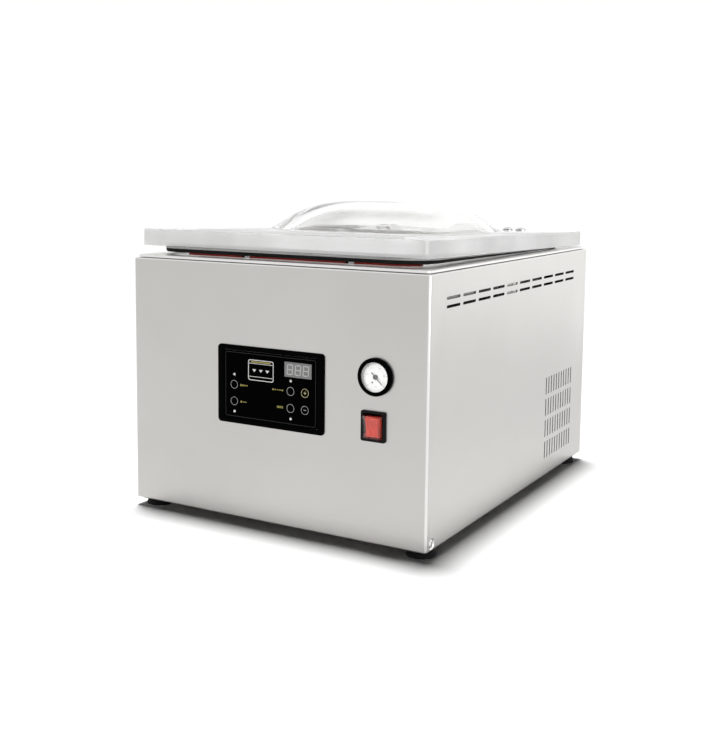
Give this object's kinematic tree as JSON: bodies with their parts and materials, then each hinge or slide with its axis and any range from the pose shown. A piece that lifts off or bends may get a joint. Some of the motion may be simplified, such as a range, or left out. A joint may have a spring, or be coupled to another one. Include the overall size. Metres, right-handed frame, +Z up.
{
  "type": "vacuum packing machine",
  "caption": "Table-top chamber vacuum packing machine with a hinged clear domed lid, a heated seal bar, a keypad, a vacuum gauge and a rocker switch.",
  "frame": {"origin": "on the ground, under the middle of the machine's bounding box", "axes": "+Z up; the front with the controls faces -Y; +X is to the right of a person facing the front, which is the gauge and switch side"},
  "size_m": [0.4, 0.5266, 0.376],
  "materials": {
    "steel_housing": "fine vertical brushed stainless steel",
    "steel_chamber": "deep-drawn satin stainless steel",
    "bright_steel": "polished steel",
    "aluminium_parts": "satin anodised aluminium",
    "heating_strip": "tape-covered heating strip",
    "clear_acrylic": "clear polished acrylic, see-through",
    "black_rubber": "matte black rubber",
    "red_silicone": "red silicone rubber",
    "black_gloss": "glossy black polyester and plastic",
    "black_plastic": "satin black plastic",
    "display_filter": "smoked display window",
    "circuit_board": "green circuit board",
    "white_dial": "white printed dial",
    "needle_grey": "grey gauge needle",
    "red_rocker": "translucent red plastic",
    "motor_paint": "dark grey enamel",
    "transformer_iron": "varnished laminations and winding",
    "tubing": "flexible polyurethane tube"
  },
  "bodies": {
    "root": {"housing_shell": "steel_housing", "rear_panel": "steel_housing", "base_plate": "steel_housing", "chamber": "steel_chamber", "chamber_bracket_left": "steel_chamber", "chamber_bracket_right": "steel_chamber", "suction_port": "bright_steel", "hinge_base_left": "bright_steel", "hinge_base_right": "bright_steel", "hinge_pin_left": "bright_steel", "hinge_pin_right": "bright_steel", "lift_cylinder_left": "aluminium_parts", "lift_cylinder_right": "aluminium_parts", "air_valve": "aluminium_parts", "pump_cover": "aluminium_parts", "pump_body": "aluminium_parts", "exhaust_filter": "aluminium_parts", "gauge_lens": "clear_acrylic", "foot_front_left": "black_rubber", "foot_front_right": "black_rubber", "foot_rear_left": "black_rubber", "foot_rear_right": "black_rubber", "suction_hose": "black_rubber", "control_frame": "black_gloss", "control_fascia": "black_gloss", "gauge_bezel": "black_gloss", "display_module": "black_plastic", "gauge_case": "black_plastic", "switch_frame": "black_plastic", "mains_inlet": "black_plastic", "fan_cover": "black_plastic", "display_window": "display_filter", "control_board": "circuit_board", "gauge_dial": "white_dial", "motor_housing": "motor_paint", "transformer": "transformer_iron", "gauge_tube": "tubing"},
    "lid": {"lid": "clear_acrylic", "lid_gasket": "black_rubber", "counter_bar": "red_silicone", "bar_clip_left": "aluminium_parts", "bar_clip_right": "aluminium_parts", "lid_hinge_left": "bright_steel", "lid_hinge_right": "bright_steel"},
    "seal_bar": {"seal_bar": "aluminium_parts", "seal_strip": "heating_strip", "lift_rod_left": "bright_steel", "lift_rod_right": "bright_steel"},
    "switch_rocker": {"switch_rocker": "red_rocker"},
    "gauge_needle": {"gauge_needle": "needle_grey"},
    "rotor": {"motor_shaft": "bright_steel", "cooling_fan": "black_plastic", "pump_rotor": "bright_steel"},
    "pump_button": {"pump_button": "black_plastic"},
    "stop_button": {"stop_button": "black_plastic"},
    "vacuum_time_button": {"vacuum_time_button": "black_plastic"},
    "seal_time_button": {"seal_time_button": "black_plastic"},
    "plus_button": {"plus_button": "black_plastic"},
    "minus_button": {"minus_button": "black_plastic"}
  },
  "joints": [
    {"name": "lid_hinge", "type": "hinge", "parent": "root", "child": "lid", "pos_m": [0, 0.25883, 0.3157], "axis": [-1, 0, 0], "range_deg": [-0.35, 68]},
    {"name": "seal_bar_lift", "type": "slide", "parent": "root", "child": "seal_bar", "axis": [0, 0, 1], "range_m": [0, 0.009]},
    {"name": "switch_tilt", "type": "hinge", "parent": "root", "child": "switch_rocker", "pos_m": [0.135, -0.25267, 0.1408], "axis": [-1, 0, 0], "range_deg": [0, 14]},
    {"name": "needle_turn", "type": "hinge", "parent": "root", "child": "gauge_needle", "pos_m": [0.137, -0.25707, 0.195], "axis": [0, -1, 0], "range_deg": [0, 270], "stiffness_Nm_per_rad": 0.0002},
    {"name": "motor_spin", "type": "hinge", "parent": "root", "child": "rotor", "pos_m": [0.077, 0.15133, 0.105], "axis": [1, 0, 0], "continuous": true},
    {"name": "pump_press", "type": "slide", "parent": "root", "child": "pump_button", "axis": [0, 1, 0], "range_m": [0, 0.0005], "stiffness_N_per_m": 1500},
    {"name": "stop_press", "type": "slide", "parent": "root", "child": "stop_button", "axis": [0, 1, 0], "range_m": [0, 0.0005], "stiffness_N_per_m": 1500},
    {"name": "vacuum_time_press", "type": "slide", "parent": "root", "child": "vacuum_time_button", "axis": [0, 1, 0], "range_m": [0, 0.0005], "stiffness_N_per_m": 1500},
    {"name": "seal_time_press", "type": "slide", "parent": "root", "child": "seal_time_button", "axis": [0, 1, 0], "range_m": [0, 0.0005], "stiffness_N_per_m": 1500},
    {"name": "plus_press", "type": "slide", "parent": "root", "child": "plus_button", "axis": [0, 1, 0], "range_m": [0, 0.0005], "stiffness_N_per_m": 1500},
    {"name": "minus_press", "type": "slide", "parent": "root", "child": "minus_button", "axis": [0, 1, 0], "range_m": [0, 0.0005], "stiffness_N_per_m": 1500}
  ]
}
